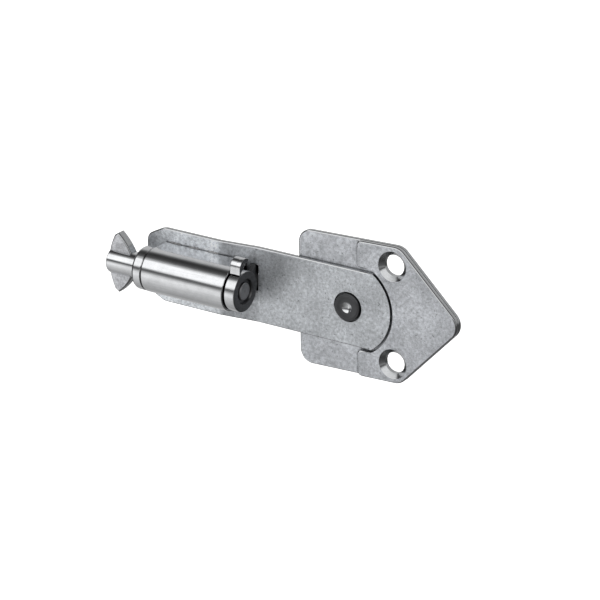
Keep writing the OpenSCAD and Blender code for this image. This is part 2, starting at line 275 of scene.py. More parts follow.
def edge_roll(front_r, back_r, thickness, facets=(0.0, 0.0), steps=3):
    """(inset, depth behind the front) pairs down a sheet's edge: rounded, with two worn facets in front."""
    leans = [0.0] + [math.radians(a) for a in FACET_LEANS] + [math.pi / 2]
    shift = front_r + sum(f * math.cos(a) for f, a in zip(facets, leans[1:]))
    depth = 0.0
    found = [(shift, depth)]
    for a, b, facet in zip(leans, leans[1:], [*facets, 0.0]):
        for k in range(steps):
            here = a + (b - a) * k / steps
            there = a + (b - a) * (k + 1) / steps
            shift -= front_r * (math.sin(there) - math.sin(here))
            depth += front_r * (math.cos(here) - math.cos(there))
            found.append((shift, depth))
        shift -= facet * math.cos(b)
        depth += facet * math.sin(b)
        found.append((shift, depth))
    for k in range(steps + 1):
        a = math.pi / 2 * k / steps
        found.append((back_r * (1 - math.cos(a)), thickness - back_r * (1 - math.sin(a))))
    return [p for i, p in enumerate(found) if i == 0 or math.dist(p, found[i - 1]) > 0.005]


def edge_stack(outline, roll, share=everywhere):
    """One loop of (x, y, depth) points for each pair that edge_roll gives."""
    return [[(x, y, depth) for x, y in inset(outline, shift, share)] for shift, depth in roll]


def round_stack(cx, cy, rings, steps=48):
    """Loops of a round hole or pin from (radius, depth) pairs."""
    return [[(x, y, depth) for x, y in arc(cx, cy, r, 0, 360, steps)[:-1]] for r, depth in rings]


# ---------------------------------------------------------------- meshes
# A face whose normal leans less than this share towards the front belongs to an edge
FLAT_ENOUGH = 0.95


def loft(stacks, caps=(True, True)):
    """A bmesh from stacks of loops, the first stack the outside and the others holes, closed by flat caps."""
    bm = bmesh.new()
    first, last = [], []
    for stack in stacks:
        rings = [[bm.verts.new(p) for p in loop] for loop in stack]
        count = len(rings[0])
        for upper, lower in zip(rings, rings[1:]):
            for i in range(count):
                j = (i + 1) % count
                bm.faces.new((upper[i], upper[j], lower[j], lower[i]))
        for ring, edges in ((rings[0], first), (rings[-1], last)):
            edges += [bm.edges.get((ring[i], ring[(i + 1) % count])) for i in range(count)]
    for wanted, edges in zip(caps, (first, last)):
        if wanted:
            bmesh.ops.triangle_fill(bm, use_beauty=True, edges=edges)
    bmesh.ops.recalc_face_normals(bm, faces=bm.faces[:])
    return bm


def place_sheet(bm, front):
    """From (x, z, depth behind the front) to a plate whose front stands that far out of the mounting face."""
    for v in bm.verts:
        v.co = Vector((v.co.x, v.co.z - front, v.co.y))
    return bm


def place_slab(bm, near):
    """From (y, z, distance) to a slab square to the spindle, running from near towards the free end."""
    for v in bm.verts:
        v.co = Vector((-near - v.co.z, v.co.x - AXIS_Y, v.co.y + AXIS_RISE))
    return bm


def leans(face):
    return abs(face.normal.y) < FLAT_ENOUGH


def cam_shaded_faces(face):
    """The cam's flat face and everything inside its recess, which take a dark tone as painted shade."""
    place = ON_ARM.inverted() @ face.calc_center_median()
    inside = math.dist((place.y, place.z), (-AXIS_Y, AXIS_RISE)) < CAM_RECESS_R + 0.2
    return inside or face.normal.dot(ARM_X) > 0.9


def in_punch(face):
    place = face.calc_center_median()
    return math.dist((place.x, place.z), (PIVOT.x, PIVOT.z)) < PUNCH_R * MM


def finish_mesh(name, bm, place, body, material, sharp=35, edge=None, chosen=leans):
    """A shaded object from a bmesh, in the row frame, riding on a body; edge paints the chosen faces."""
    bmesh.ops.transform(bm, matrix=place, verts=bm.verts[:])
    bmesh.ops.recalc_face_normals(bm, faces=bm.faces[:])
    if edge is not None:
        for face in bm.faces:
            face.material_index = int(chosen(face))
    mesh = bpy.data.meshes.new(name)
    bm.to_mesh(mesh)
    bm.free()
    mesh.shade_smooth()
    mesh.set_sharp_from_angle(angle=math.radians(sharp))
    mesh.materials.append(material)
    if edge is not None:
        mesh.materials.append(edge)
    made = bpy.data.objects.new(name, mesh)
    bpy.context.scene.collection.objects.link(made)
    even = made.modifiers.new("even shading", "WEIGHTED_NORMAL")
    even.keep_sharp = True
    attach(made, body)
    return made


def turned(rings, steps=72):
    """A closed turned piece from (radius, distance from the pivot) pairs; a radius of 0 closes an end."""
    bm = bmesh.new()
    loops = []
    for r, far in rings:
        if r == 0:
            loops.append([bm.verts.new((-far, -AXIS_Y, AXIS_RISE))])
            continue
        loop = []
        for k in range(steps):
            a = 2 * math.pi * k / steps
            loop.append(bm.verts.new((-far, -AXIS_Y - r * math.cos(a), AXIS_RISE + r * math.sin(a))))
        loops.append(loop)
    for a, b in zip(loops, loops[1:]):
        for i in range(steps):
            j = (i + 1) % steps
            corners = [a[i % len(a)], a[j % len(a)], b[j % len(b)], b[i % len(b)]]
            bm.faces.new(list(dict.fromkeys(corners)))
    bmesh.ops.recalc_face_normals(bm, faces=bm.faces[:])
    return bm


def across(rings, steps=72):
    """A closed turned piece square to the plates, about the pivot, from (radius, height) pairs."""
    bm = turned(rings, steps)
    for v in bm.verts:
        v.co = Vector((v.co.y + AXIS_Y, v.co.x, v.co.z - AXIS_RISE))
    return bm


def cut_along_x(bm, places):
    """Adds an edge loop across a sheet at each place along the strap."""
    for x in places:
        parts = bm.verts[:] + bm.edges[:] + bm.faces[:]
        bmesh.ops.bisect_plane(bm, geom=parts, plane_co=(x, 0, 0), plane_no=(1, 0, 0))


# ---------------------------------------------------------------- shader helpers
def new_material(name):
    material = bpy.data.materials.new(name)
    material.use_nodes = True
    nodes = material.node_tree.nodes
    return material, nodes, material.node_tree.links, nodes["Principled BSDF"]


def add_noise(nodes, links, coords, scale, detail=4.0, roughness=0.6, stretch=None):
    """A noise texture in the piece's own coordinates, longer along one way if stretch is given."""
    texture = nodes.new("ShaderNodeTexNoise")
    texture.inputs["Scale"].default_value = scale
    texture.inputs["Detail"].default_value = detail
    texture.inputs["Roughness"].default_value = roughness
    source = coords.outputs["Object"]
    if stretch is not None:
        mapping = nodes.new("ShaderNodeMapping")
        mapping.inputs["Scale"].default_value = stretch
        links.new(source, mapping.inputs["Vector"])
        source = mapping.outputs["Vector"]
    links.new(source, texture.inputs["Vector"])
    return texture.outputs["Fac"]


def add_ramp(nodes, links, source, stops):
    """A colour ramp from (place, grey or colour) stops."""
    ramp = nodes.new("ShaderNodeValToRGB")
    ramp.color_ramp.elements.remove(ramp.color_ramp.elements[1])
    for i, (place, colour) in enumerate(stops):
        if i == 0:
            element = ramp.color_ramp.elements[0]
            element.position = place
        else:
            element = ramp.color_ramp.elements.new(place)
        rgb = (colour,) * 3 if isinstance(colour, (int, float)) else colour
        element.color = (*rgb, 1)
    links.new(source, ramp.inputs["Fac"])
    return ramp.outputs["Color"]


def add_mix(nodes, links, blend, amount, first, second):
    """Two colours blended; the amount is a number or a socket."""
    mix = nodes.new("ShaderNodeMix")
    mix.data_type = "RGBA"
    mix.blend_type = blend
    if isinstance(amount, (int, float)):
        mix.inputs["Factor"].default_value = amount
    else:
        links.new(amount, mix.inputs["Factor"])
    for socket, value in ((mix.inputs["A"], first), (mix.inputs["B"], second)):
        if isinstance(value, tuple):
            socket.default_value = (*value, 1)
        else:
            links.new(value, socket)
    return mix.outputs["Result"]


def add_bump(nodes, links, shader, height, distance, strength=1.0, after=None):
    bump = nodes.new("ShaderNodeBump")
    bump.inputs["Distance"].default_value = distance
    bump.inputs["Strength"].default_value = strength
    links.new(height, bump.inputs["Height"])
    if after is not None:
        links.new(after, bump.inputs["Normal"])
    links.new(bump.outputs["Normal"], shader.inputs["Normal"])
    return bump.outputs["Normal"]


def add_along(nodes, links, coords, base, stops):
    """Scales a colour by the distance from the pivot along the strap, from (distance, share) stops."""
    split = nodes.new("ShaderNodeSeparateXYZ")
    links.new(coords.outputs["Object"], split.inputs["Vector"])
    place = nodes.new("ShaderNodeMapRange")
    place.inputs["From Min"].default_value = PIVOT.x
    place.inputs["From Max"].default_value = PIVOT.x - ARM_REACH * MM
    links.new(split.outputs["X"], place.inputs["Value"])
    peak = max(share for distance, share in stops)
    scaled = [(distance / ARM_REACH, share / peak) for distance, share in stops]
    level = add_ramp(nodes, links, place.outputs["Result"], scaled)
    strong = add_mix(nodes, links, "MULTIPLY", 1.0, level, (peak, peak, peak))
    return add_mix(nodes, links, "MULTIPLY", 1.0, base, strong)


def add_crevice_shade(nodes, links, base, reach=0.0009):
    """Darkens a colour where the surface is shut in by its neighbours: painted shade in creases and recesses.
    """
    shut_in = nodes.new("ShaderNodeAmbientOcclusion")
    shut_in.samples = 6
    shut_in.inputs["Distance"].default_value = reach
    level = add_ramp(nodes, links, shut_in.outputs["AO"], [(0.2, 0.05), (0.6, 0.7), (0.85, 1.0)])
    return add_mix(nodes, links, "MULTIPLY", 1.0, base, level)


def sheet_metal(name, tone, rough=0.33, cloud=0.14, speck=0.6, along=None, metallic=0.7):
    """Zinc-coated sheet: soft clouds, a fine mottle, small dark specks and shallow pits.

    It is only partly metallic, so that it takes some plain light as well as reflections.
    """
    material, nodes, links, shader = new_material(name)
    coords = nodes.new("ShaderNodeTexCoord")
    shader.inputs["Metallic"].default_value = metallic
    clouds = add_noise(nodes, links, coords, 110, 3, 0.55)
    mottle = add_noise(nodes, links, coords, 950, 5, 0.8)
    specks = add_noise(nodes, links, coords, 1150, 2, 0.5)
    low = tuple(c * (1 - cloud) for c in tone)
    high = tuple(min(1, c * (1 + cloud)) for c in tone)
    base = add_ramp(nodes, links, clouds, [(0.36, low), (0.64, high)])
    grain = add_ramp(nodes, links, mottle, [(0.38, 0.5), (0.62, 1.0)])
    base = add_mix(nodes, links, "MULTIPLY", 0.85, base, grain)
    dots = add_ramp(nodes, links, specks, [(0.28, 0.15), (0.33, 1.0)])
    base = add_mix(nodes, links, "MULTIPLY", speck, base, dots)
    if along is not None:
        base = add_along(nodes, links, coords, base, along)
    # The base colour gets painted shade where the surface is shut in by its neighbours
    links.new(add_crevice_shade(nodes, links, base), shader.inputs["Base Color"])
    roughness = add_ramp(nodes, links, mottle, [(0.3, rough + 0.08), (0.7, rough - 0.06)])
    links.new(roughness, shader.inputs["Roughness"])
    wavy = add_bump(nodes, links, shader, clouds, 0.0004, 0.35)
    add_bump(nodes, links, shader, mottle, 0.00004, 0.6, wavy)
    return material


def turned_metal(name, tone, rough=0.06, streak=0.1, shut=0.0009):
    """Drawn or turned steel: near-mirror with fine streaks round or along it and a few stains."""
    material, nodes, links, shader = new_material(name)
    coords = nodes.new("ShaderNodeTexCoord")
    shader.inputs["Metallic"].default_value = 1.0
    streaks = add_noise(nodes, links, coords, 60, 6, 0.75, (1, 24, 24))
    stains = add_noise(nodes, links, coords, 260, 3, 0.6)
    low = tuple(c * (1 - streak) for c in tone)
    base = add_ramp(nodes, links, streaks, [(0.35, low), (0.65, tone)])
    cloud = add_ramp(nodes, links, stains, [(0.3, 0.85), (0.6, 1.0)])
    base = add_mix(nodes, links, "MULTIPLY", 0.7, base, cloud)
    # The base colour gets painted shade where the surface is shut in by its neighbours
    links.new(add_crevice_shade(nodes, links, base, shut), shader.inputs["Base Color"])
    roughness = add_ramp(nodes, links, stains, [(0.3, rough + 0.05), (0.7, rough)])
    links.new(roughness, shader.inputs["Roughness"])
    add_bump(nodes, links, shader, streaks, 0.00003, 0.5)
    return material


TONE_PLATE = (0.645, 0.665, 0.70)
TONE_STRAP = (0.655, 0.68, 0.71)
TONE_EDGE = (0.56, 0.57, 0.58)
TONE_BARREL = (0.75, 0.76, 0.775)
TONE_WING = (0.72, 0.73, 0.76)
# The cam's dark tone is painted shade: on its flat face, in its recess, on the web and on the nose
TONE_CAM_SHADE = (0.165, 0.167, 0.172)
TONE_RIVET = (0.09, 0.091, 0.095)
TONE_WASHER = (0.22, 0.22, 0.22)
TONE_WELD = (0.5, 0.5, 0.5)
TONE_PIN = (0.4, 0.4, 0.41)

# Share of the strap's tone by distance from the pivot. It stands in for the way the light falls on the
# slope and the free end: the metal itself is the same all along
STRAP_ALONG = [(0, 1.0), (33.9, 1.0), (34.4, 0.84), (46.5, 0.86), (48.5, 1.5), (68, 1.5), (74, 1.0)]
TONE_SPRING = (0.5, 0.5, 0.5)
TONE_BRONZE = (0.55, 0.36, 0.16)

PLATE_STEEL = sheet_metal("plate steel", TONE_PLATE)
STRAP_STEEL = sheet_metal("strap steel", TONE_STRAP, 0.38, along=STRAP_ALONG)
EDGE_STEEL = turned_metal("edge steel", TONE_EDGE, 0.1)
PIN_STEEL = turned_metal("pin steel", TONE_PIN, 0.45)
PUNCH_STEEL = turned_metal("punch steel", TONE_BARREL, 0.1)
TURNED_STEEL = turned_metal("turned steel", TONE_BARREL)
WING_STEEL = sheet_metal("wing steel", TONE_WING, 0.34, 0.08, 0.1)
CAM_STEEL = turned_metal("cam steel", TONE_BARREL, 0.1)
# A darker copy of the cam's steel, as painted shade on the cam's face, recess, web and nose
CAM_SHADE = turned_metal("cam face painted shade", TONE_CAM_SHADE, 0.3, 0.3, 0.0022)
RIVET_STEEL = turned_metal("rivet steel", TONE_RIVET, 0.3)
WASHER_STEEL = turned_metal("washer steel", TONE_WASHER, 0.35)
WELD_STEEL = sheet_metal("weld steel", TONE_WELD, 0.4, 0.3, 0.5)
SPRING_STEEL = turned_metal("spring steel", TONE_SPRING, 0.25)
BRONZE = turned_metal("bush bronze", TONE_BRONZE, 0.3)


# ---------------------------------------------------------------- mounting plates
def screw_hole(side, rings):
    return round_stack(-PIVOT.x / MM, side * HOLE_SPACING / 2, rings)


def make_base_plate():
    outline = dense(rounded([
        (-PLATE_BACK, -PLATE_HALF, BACK_CORNER_R),
        (PLATE_SHOULDER, -PLATE_HALF, SHOULDER_R),
        (PLATE_POINT, 0, POINT_R),
        (PLATE_SHOULDER, PLATE_HALF, SHOULDER_R),
        (-PLATE_BACK, PLATE_HALF, BACK_CORNER_R),
    ]), 6)
    hole = [(HOLE_R, 0), (HOLE_R, BASE_FRONT - 0.15), (HOLE_R + 0.15, BASE_FRONT)]
    stacks = [edge_stack(outline, edge_roll(SHEET_FRONT_R, SHEET_BACK_R, BASE_FRONT, BASE_FACETS))]
    stacks += [screw_hole(side, hole) for side in (-1, 1)]
    bm = place_sheet(loft(stacks), BASE_FRONT)
    made = finish_mesh("plate_back", bm, ON_PLATE, "mount", PLATE_STEEL, edge=EDGE_STEEL)
    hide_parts("base_plate")


def pocket_side():
    """The pocket's upper half from the lip's free corner round to the middle of the round wall."""
    fillet_z = POCKET_HALF - POCKET_FILLET_R
    reach = POCKET_R - POCKET_FILLET_R
    angle = math.degrees(math.asin(fillet_z / reach))
    fillet_x = reach * math.cos(math.radians(angle))
    points = arc(COVER_EDGE + LIP_R, POCKET_HALF + LIP_R, LIP_R, 180, 270, 6)
    points += arc(fillet_x, fillet_z, POCKET_FILLET_R, 90, angle, 8)
    points += arc(0, 0, POCKET_R, angle, 0, 16)[1:]
    return points


def pocket_share(x, z):
    """The pocket's round wall keeps a crisp edge; the lips and the outside are worn."""
    r = math.hypot(x, z)
    return 1.0 if r > POCKET_R + 0.5 else CRISP + (1 - CRISP) * smooth_step((POCKET_R - r) / 1.2)


def make_cover_plate():
    thickness = COVER_FRONT - BASE_FRONT
    upper = pocket_side()
    lower = [(x, -z) for x, z in reversed(upper)]
    outside = rounded([
        (COVER_EDGE, -PLATE_HALF, COVER_CORNER_R),
        (PLATE_SHOULDER, -PLATE_HALF, SHOULDER_R),
        (PLATE_POINT, 0, POINT_R),
        (PLATE_SHOULDER, PLATE_HALF, SHOULDER_R),
        (COVER_EDGE, PLATE_HALF, COVER_CORNER_R),
    ])
    outline = dense(tidy(outside + upper + lower), 6)
    hole = [(COUNTERSINK_R + 0.1, 0), (COUNTERSINK_R - 0.02, 0.03), (HOLE_R + 0.02, thickness - 0.03)]
    hole.append((HOLE_R, thickness))
    roll = edge_roll(COVER_FRONT_R, COVER_BACK_R, thickness, COVER_FACETS)
    stacks = [edge_stack(outline, roll, pocket_share)]
    stacks += [screw_hole(side, hole) for side in (-1, 1)]
    bm = place_sheet(loft(stacks), COVER_FRONT)
    made = finish_mesh("plate_front", bm, ON_PLATE, "mount", PLATE_STEEL, edge=EDGE_STEEL)
    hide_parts("cover_plate")


# ---------------------------------------------------------------- strap
def lift(x):
    """How far the strap has stepped forward at a place along it, with rounded bends."""
    near = -OFFSET_START
    far = -OFFSET_END
    slope = OFFSET_H / (near - far)
    run = min(max(near - x, 0), near - far)
    level = slope * run
    for corner, turn in ((near, 1), (far, -1)):
        gap = abs(x - corner)
        if gap < BEND:
            level += turn * slope * (BEND - gap) ** 2 / (4 * BEND)
    return level


def arm_outline():
    half = ARM_HALF
    joined = math.sqrt(ARM_END_R ** 2 - half ** 2)
    start = math.degrees(math.asin(half / ARM_END_R))
    tip = rounded([
        (0, half, 0.01),
        (ARM_NOSE_L - ARM_REACH, half, ARM_SHOULDER_R),
        (-ARM_REACH, half - ARM_NOSE_W, ARM_TIP_R),
        (-ARM_REACH, ARM_NOSE_W - half, ARM_TIP_R),
        (ARM_NOSE_L - ARM_REACH, -half, ARM_SHOULDER_R),
        (0, -half, 0.01),
    ])
    return dense(tidy([(joined, -half)] + arc(0, 0, ARM_END_R, -start, start, 32) + tip), 4)


def arm_share(x, z):
    """The strap's round end keeps a crisp edge; the rest is worn."""
    return 1.0 if x < 0 else CRISP + (1 - CRISP) * smooth_step((ARM_END_R - math.hypot(x, z)) / 1.2)


def slot_loop(depth):
    """The slot at a depth in the strap; its floor is round about the spindle's axis."""
    ends = []
    for x in (-SLOT_FAR, -SLOT_NEAR):
        half = math.sqrt(SLOT_SWEEP_R ** 2 - (AXIS_Y - ARM_FRONT - lift(x) + depth) ** 2)
        ends.append((x, max(-SLOT_BOTTOM, AXIS_RISE - half), AXIS_RISE + half))
    (far, far_low, far_high), (near, near_low, near_high) = ends
    corners = [(far, far_low, 0.3), (near, near_low, 0.3), (near, near_high, 0.3), (far, far_high, 0.3)]
    return [(x, z, depth) for x, z in rounded(corners, 4)]


def make_strap():
    outline = arm_outline()
    seat = [(SEAT_R + 0.12, 0), (SEAT_R + 0.02, 0.08), (SEAT_R, SEAT_DEPTH), (RIVET_R + 0.05, SEAT_DEPTH)]
    seat.append((RIVET_R + 0.05, ARM_T))
    stacks = [
        edge_stack(outline, edge_roll(SHEET_FRONT_R, SHEET_BACK_R, ARM_T, STRAP_FACETS), arm_share),
        round_stack(0, 0, seat),
        [slot_loop(depth) for depth in (0, 0.3, 0.6, 0.9, 1.2, ARM_T)],
    ]
    bm = loft(stacks)
    cut_along_x(bm, [step - corner for corner in (OFFSET_START, OFFSET_END) for step in BEND_CUTS])
    for v in bm.verts:
        v.co.z -= lift(v.co.x)
    place_sheet(bm, ARM_FRONT)
    made = finish_mesh("strap", bm, ON_ARM, "strap", STRAP_STEEL, edge=EDGE_STEEL)
    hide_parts("swing_arm")


# ---------------------------------------------------------------- barrel and welds
FOOT_R = 0.55


def make_barrel():
    depth = AXIS_Y - LIFT_FRONT
    front = arc(0, 0, BARREL_R, 90, 270, 48)
    foot = arc(depth - FOOT_R, FOOT_R - BARREL_R, FOOT_R, -90, 0, 5)
    foot += arc(depth - FOOT_R, BARREL_R - FOOT_R, FOOT_R, 0, 90, 5)
    outline = dense(tidy(front + foot), 2.5)
    length = BARREL_FAR - BARREL_NEAR
    bore = [(BUSH_R, 0), (BUSH_R, length)]
    stacks = [edge_stack(outline, edge_roll(0.35, 0.35, length)), round_stack(0, 0, bore)]
    bm = place_slab(loft(stacks), BARREL_NEAR)
    made = finish_mesh("barrel", bm, ON_ARM, "strap", TURNED_STEEL)
    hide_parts("barrel_housing")


def bead(start, length, side, radius=0.5, steps=28, sides=10):
    """One lumpy fillet weld in the corner between the barrel's side and the strap."""
    bm = bmesh.new()
    loops = []
    for i in range(steps + 1):
        t = i / steps
        x = -start - length * t
        taper = math.sqrt(max(0.02, 1 - (2 * t - 1) ** 4))
        size = radius * taper * (0.82 + 0.18 * noise.noise(Vector((x * 1.7, side, start))))
        loop = [bm.verts.new((x, -LIFT_FRONT + 0.02, AXIS_RISE + side * (BARREL_R - 0.55)))]
        for k in range(sides + 1):
            a = math.pi / 2 * k / sides
            out = size * (1 + 0.06 * math.sin(9 * x + 2 * a))
            y = -LIFT_FRONT - out * math.sin(a)
            z = AXIS_RISE + side * (BARREL_R + out * math.cos(a) - 0.05)
            loop.append(bm.verts.new((x, y, z)))
        loops.append(loop)
    count = len(loops[0])
    for a, b in zip(loops, loops[1:]):
        for k in range(count):
            j = (k + 1) % count
            bm.faces.new((a[k], a[j], b[j], b[k]))
    bm.faces.new(loops[0])
    bm.faces.new(loops[-1])
    bmesh.ops.recalc_face_normals(bm, faces=bm.faces[:])
    return bm


def make_welds():
    first = None
    number = 0
    for side in (-1, 1):
        for start in WELD_STARTS:
            number += 1
            bm = bead(BARREL_NEAR + start, WELD_L, side)
            made = finish_mesh(f"weld_{number}", bm, ON_ARM, "strap", WELD_STEEL, 50)
            first = first or made
    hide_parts("seam_welds")


# ---------------------------------------------------------------- toggle
def make_collar():
    flank = COLLAR_FAR - COLLAR_EDGE_R
    rings = [(SPINDLE_R, COLLAR_NEAR), (COLLAR_R - 0.25, COLLAR_NEAR), (COLLAR_R, COLLAR_NEAR + 0.25)]
    for k in range(9):
        a = math.pi / 2 * k / 8
        rings.append((COLLAR_R - COLLAR_EDGE_R * (1 - math.cos(a)), flank + COLLAR_EDGE_R * math.sin(a)))
    rings.append((SPINDLE_R, COLLAR_FAR))
    bm = turned(rings + [rings[0]])
    bmesh.ops.remove_doubles(bm, verts=bm.verts[:], dist=0.0001)
    made = finish_mesh("collar", bm, ON_ARM, "toggle", TURNED_STEEL)
    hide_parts("toggle_collar")


def groove_rings(steps=10):
    """(radius, distance) pairs down into the ball's groove and out of it."""
    half = math.sqrt(GROOVE_R ** 2 - (GROOVE_OUT - SPINDLE_R) ** 2)
    places = [-half + 2 * half * k / steps for k in range(steps + 1)]
    return [(GROOVE_OUT - math.sqrt(GROOVE_R ** 2 - d * d), GROOVE_X + d) for d in places]


def make_spindle():
    rings = [(0, SPINDLE_NEAR), (TENON_R, SPINDLE_NEAR), (TENON_R, TENON_END), (SPINDLE_R, TENON_END)]
    rings += groove_rings()
    rings += [(SPINDLE_R, COLLAR_FAR), (HUB_R, COLLAR_FAR), (HUB_R, SPINDLE_FAR - 0.5)]
    rings += [(HUB_R - 0.15, SPINDLE_FAR - 0.15), (HUB_R - 0.5, SPINDLE_FAR), (0, SPINDLE_FAR)]
    made = finish_mesh("spindle_turned", turned(rings), ON_ARM, "toggle", TURNED_STEEL, 30)
    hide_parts("spindle")


def wing_outline():
    """Upper half of the fishtail: a bowed outer edge and an inner edge that curves back to the spindle."""
    outer_c = Vector((WING_OUTER_R - WING_FAR, 0))
    inner_c = Vector((-WING_INNER_X, -WING_INNER_Z))
    points = []
    top = 0
    while True:
        a = math.radians(180 - top)
        p = outer_c + WING_OUTER_R * Vector((math.cos(a), math.sin(a)))
        if (p - inner_c).length > WING_INNER_R or p.y > WING_REACH:
            break
        points.append((p.x, p.y))
        top += 1
    tip = points[-1]
    start = math.degrees(math.atan2(tip[1] - inner_c.y, tip[0] - inner_c.x))
    end = math.degrees(math.asin(WING_INNER_Z / WING_INNER_R))
    return points, arc(inner_c.x, inner_c.y, WING_INNER_R, start, end, 24)


def make_wing():
    outer, inner = wing_outline()
    upper = outer + inner[1:]
    lower = [(x, -z) for x, z in reversed(upper)]
    outline = tidy(list(reversed(upper)) + list(reversed(lower)))
    outline = [(x, z + AXIS_RISE) for x, z in outline]
    stacks = [edge_stack(outline, edge_roll(WING_FRONT_R, WING_BACK_R, WING_T, WING_FACETS))]
    bm = place_sheet(loft(stacks), AXIS_Y + WING_T / 2)
    made = finish_mesh("wing", bm, ON_ARM, "toggle", WING_STEEL, edge=EDGE_STEEL)
    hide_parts("thumb_wing")


# ---------------------------------------------------------------- cam
def make_cam_disc():
    rings = [(0, CAM_NEAR + CAM_RECESS_D), (CAM_RECESS_R - 0.1, CAM_NEAR + CAM_RECESS_D)]
    rings += [(CAM_RECESS_R, CAM_NEAR + CAM_RECESS_D - 0.1), (CAM_RECESS_R, CAM_NEAR + 0.15)]
    rings += [(CAM_RECESS_R + 0.15, CAM_NEAR), (CAM_R - 0.35, CAM_NEAR), (CAM_R - 0.1, CAM_NEAR + 0.1)]
    rings += [(CAM_R, CAM_NEAR + 0.35), (CAM_R, CAM_FAR - 0.35), (CAM_R - 0.1, CAM_FAR - 0.1)]
    rings += [(CAM_R - 0.35, CAM_FAR), (0, CAM_FAR)]
    bm = turned(rings, 96)
    made = finish_mesh("cam_disc", bm, ON_ARM, "toggle", CAM_STEEL, 50, CAM_SHADE, cam_shaded_faces)
    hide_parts("locking_cam")


def hook_outline(nicked):
    """The hook's outline above its slanting lower edge, with or without the cut that runs up from it."""
    lean = Vector((-math.sin(math.radians(GAP_SLOPE)), math.cos(math.radians(GAP_SLOPE))))
    along = Vector((lean.y, -lean.x))
    centre = Vector((HOOK_Y, HOOK_Z))
    clear = lean.dot(centre) - GAP_OFFSET
    end = centre - lean * clear + along * math.sqrt(HOOK_R ** 2 - clear ** 2)
    start = math.degrees(math.atan2(end.y - centre.y, end.x - centre.x))
    left = HOOK_Y - HOOK_R
    foot = (GAP_OFFSET - lean.x * left) / lean.y
    outline = arc(HOOK_Y, HOOK_Z, HOOK_R, start, 180, 28) + [(left, foot)]
    if not nicked:
        return tidy(outline)
    inner = Vector((NICK_Y, NICK_Z))
    reach = (lean.dot(inner) - GAP_OFFSET) / math.sin(math.radians(GAP_SLOPE - NICK_SLOPE))
    mouth = inner + Vector((math.cos(math.radians(NICK_SLOPE)), math.sin(math.radians(NICK_SLOPE)))) * reach
    side = along * NICK_W / 2
    nick = [mouth - side, inner - side, inner + side, mouth + side]
    return tidy(outline + [(p.x, p.y) for p in nick])


def make_cam_hook():
    front = dense(hook_outline(True), 1.5)
    bm = place_slab(loft([edge_stack(front, edge_roll(0.14, 0.02, NICK_DEPTH))]), CAM_NEAR)
    finish_mesh("cam_hook", bm, ON_ARM, "toggle", CAM_STEEL, 35, CAM_SHADE, cam_shaded_faces)
    rear = dense(hook_outline(False), 1.5)
    roll = edge_roll(0.02, 0.3, CAM_FAR - CAM_NEAR - NICK_DEPTH)
    bm = place_slab(loft([edge_stack(rear, roll)]), CAM_NEAR + NICK_DEPTH)
    finish_mesh("cam_hook_back", bm, ON_ARM, "toggle", CAM_STEEL)
    half = (CAM_FAR - CAM_NEAR) / 2
    # The web joining the hook to the disc takes the dark cam tone: painted shade in the gap between them
    web = dense(rounded([
        (WEB_Y, 3, 0.3),
        (WEB_Y + HOOK_R, 3, 0.3),
        (WEB_Y + HOOK_R, HOOK_Z, 0.3),
        (WEB_Y, HOOK_Z, 0.3),
    ], 4), 1.5)
    bm = place_slab(loft([edge_stack(web, edge_roll(0.2, 0.2, half))]), CAM_FAR - half)
    finish_mesh("cam_web", bm, ON_ARM, "toggle", CAM_SHADE)


def make_cam_nose():
    rise = math.radians(NOSE_RISE)
    low = math.degrees(math.asin(NOSE_LOW / NOSE_REACH))
    outline = [(0.5, -NOSE_LOW)] + arc(0, 0, NOSE_REACH, -low, NOSE_RISE, 20) + [(0.5, 0.5 * math.tan(rise))]
    roll = edge_roll(0.2, 0.2, NOSE_FAR - NOSE_NEAR)
    bm = place_slab(loft([edge_stack(dense(outline, 2), roll)]), NOSE_NEAR)
    # The nose takes the dark cam tone: painted shade where it sits in the strap's slot
    finish_mesh("cam_nose", bm, ON_ARM, "toggle", CAM_SHADE)


def make_cam_rivet():
    floor = CAM_NEAR + CAM_RECESS_D
    top = floor - CAM_RIVET_T
    rings = [(0, top + 0.5), (0.5, top + 0.05), (0.62, top), (CAM_RIVET_R - 0.2, top)]
    rings += [(CAM_RIVET_R, top + 0.2), (CAM_RIVET_R, floor), (PIN_STEM_R, floor)]
    rings += [(PIN_STEM_R, floor + PIN_STEM_L), (0, floor + PIN_STEM_L)]
    made = finish_mesh("cam_pin", turned(rings), ON_ARM, "toggle", PIN_STEEL, 40)
    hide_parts("cam_rivet")


# ---------------------------------------------------------------- pivot rivet
def make_pivot_rivet():
    under = ARM_FRONT - SEAT_DEPTH + 0.3
    top = RIVET_TOP
    rings = [(0, top - PUNCH_DEPTH), (PUNCH_R, top), (PUNCH_R + 0.25, top), (3.0, top - 0.03)]
    rings += [(3.1, top), (3.85, top), (3.95, top - 0.07)]
    rings += [(RIVET_HEAD_R - 0.35, top - 0.1), (RIVET_HEAD_R - 0.12, top - 0.3)]
    rings += [(RIVET_HEAD_R - 0.12, under), (RIVET_R, under), (RIVET_R, 0.9), (RIVET_R + 0.9, 0), (0, 0)]
    bm = across(rings)
    made = finish_mesh("rivet", bm, ON_PLATE, "mount", RIVET_STEEL, 30, PUNCH_STEEL, in_punch)
    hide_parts("pivot_rivet")


# ---------------------------------------------------------------- CAD nodes shown as they are
def paint_frame():
    shown = {
        "pivot_washer": (WASHER_STEEL, "washer_steel"),
        "collar_washer": (WASHER_STEEL, "washer_steel"),
        "cam_washer": (WASHER_STEEL, "washer_steel"),
        "toggle_bush": (BRONZE, "bush_bronze"),
        "cam_bush": (BRONZE, "bush_bronze"),
        "detent_ball": (SPRING_STEEL, "spring_steel"),
        "detent_spring": (SPRING_STEEL, "spring_steel"),
    }
    for name, (material, slot) in shown.items():
        node = frame["nodes"][name]
        node.data.materials.clear()
        node.data.materials.append(material)


# ---------------------------------------------------------------- studio, in metres
FLOOR_HALF = 6.0
FLOOR_Z = -0.35
BACKDROP_R = 5


